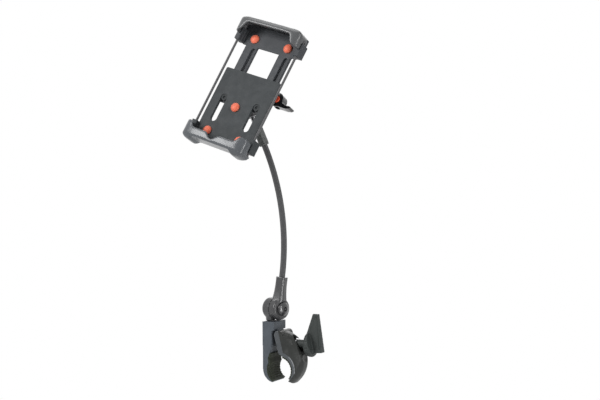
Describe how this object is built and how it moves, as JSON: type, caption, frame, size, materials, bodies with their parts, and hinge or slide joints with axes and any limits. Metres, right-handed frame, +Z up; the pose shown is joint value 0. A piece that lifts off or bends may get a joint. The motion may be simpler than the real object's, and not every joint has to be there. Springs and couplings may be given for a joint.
{
  "type": "phone holder arm",
  "caption": "Pole clamp with a wing knob, a friction knuckle and curved neck that carry a sprung, tilting phone cradle.",
  "frame": {"origin": "centre of the pole that the jaws grip, half way along the jaws", "axes": "+Y along the gripped pole, +X along the clamp screw towards its knob, +Z up towards the cradle"},
  "size_m": [0.1464, 0.099, 0.4281],
  "materials": {
    "jaw_plastic": "satin moulded",
    "moving_jaw_plastic": "satin moulded",
    "pad_rubber": "matt ribbed",
    "pin_steel": "turned",
    "plated_steel": "zinc plated",
    "washer_chrome": "bright",
    "knob_plastic": "fine grained",
    "knuckle_plastic": "semi gloss",
    "slip_washer": "smooth",
    "bolt_black": "black oxide",
    "neck_cover": "extruded cover",
    "sleeve_plastic": "semi gloss",
    "ball_metal": "smooth",
    "socket_plastic": "moulded",
    "lever_plastic": "semi gloss",
    "orange_plastic": "semi gloss",
    "plate_plastic": "fine grained",
    "holder_gloss": "gloss",
    "holder_satin": "satin",
    "orange_rubber": "soft",
    "elastic_cord": "braided"
  },
  "bodies": {
    "clamp": {"fixed_jaw": "jaw_plastic", "fixed_jaw_pad": "pad_rubber", "hinge_pin": "pin_steel", "barrel_nut": "plated_steel", "swivel_lock_pin": "pin_steel"},
    "jaw": {"moving_jaw": "moving_jaw_plastic", "moving_jaw_pad": "pad_rubber"},
    "feed": {"knob_washer": "washer_chrome"},
    "knob": {"clamp_screw": "plated_steel", "wing_knob": "knob_plastic"},
    "swivel": {"swivel_stud": "plated_steel", "knuckle_base": "knuckle_plastic", "knuckle_washer": "slip_washer", "knuckle_bolt": "bolt_black", "knuckle_nut": "plated_steel"},
    "arm": {"arm_knuckle": "knuckle_plastic", "neck": "neck_cover"},
    "arm_top": {"upper_sleeve": "sleeve_plastic", "ball_stud": "ball_metal"},
    "head": {"ball_socket": "socket_plastic", "lever_bolt": "plated_steel", "lever_saddle": "lever_plastic"},
    "lever": {"cam_lever": "lever_plastic", "lever_pin": "pin_steel", "lever_cap": "orange_plastic"},
    "cradle": {"cradle_plate": "plate_plastic", "hub_cover": "socket_plastic", "hub_screws": "plated_steel", "lower_holder": "holder_gloss", "lower_bumpers": "orange_rubber", "elastic_left": "elastic_cord", "elastic_right": "elastic_cord"},
    "slider": {"sliding_frame": "plate_plastic", "upper_holder": "holder_satin", "upper_bumpers": "orange_rubber", "guide_screws": "bolt_black"}
  },
  "joints": [
    {"name": "screw_feed", "type": "slide", "parent": "clamp", "child": "feed", "axis": [1, 0, 0], "range_m": [-0.00167, 0.002]},
    {"name": "knob_turn", "type": "hinge", "parent": "feed", "child": "knob", "pos_m": [0.02, 0, 0.0303], "axis": [1, 0, 0], "range_deg": [-410, 490]},
    {"name": "jaw_swing", "type": "hinge", "parent": "clamp", "child": "jaw", "pos_m": [-0.002, 0, 0.04], "axis": [0, -1, 0], "range_deg": [-10.5, 12.5]},
    {"name": "arm_swivel", "type": "hinge", "parent": "clamp", "child": "swivel", "pos_m": [-0.01485, 0, 0.055], "axis": [0, 0, 1], "continuous": true},
    {"name": "knuckle_tilt", "type": "hinge", "parent": "swivel", "child": "arm", "pos_m": [-0.01485, 0, 0.0695], "axis": [0.9494, -0.314, 0], "range_deg": [-75, 75]},
    {"name": "neck_bend", "type": "hinge", "parent": "arm", "child": "arm_top", "pos_m": [-0.00399, -0.00166, 0.18423], "axis": [-0.4493, 0.8934, 0], "range_deg": [-35, 35], "deforming": ["neck"]},
    {"name": "head_tilt", "type": "hinge", "parent": "arm_top", "child": "head", "pos_m": [-0.03597, -0.01775, 0.29885], "axis": [0.9461, -0.1094, -0.3049], "range_deg": [-24, 24]},
    {"name": "lever_swing", "type": "hinge", "parent": "head", "child": "lever", "pos_m": [-0.00316, -0.01013, 0.31001], "axis": [0, -0.9412, 0.3378], "range_deg": [0, 90]},
    {"name": "cradle_roll", "type": "hinge", "parent": "head", "child": "cradle", "pos_m": [-0.03597, -0.03808, 0.30615], "axis": [0, -0.9412, 0.3378], "continuous": true},
    {"name": "frame_slide", "type": "slide", "parent": "cradle", "child": "slider", "axis": [0.3239, 0.3195, 0.8905], "range_m": [-0.027, 0], "deforming": ["elastic_left", "elastic_right"]}
  ],
  "couplings": [
    {"joint": "knob_turn", "follows": "screw_feed", "rad_per_m": 4188.8},
    {"joint": "jaw_swing", "follows": "screw_feed", "rad_per_m": 103.09}
  ]
}
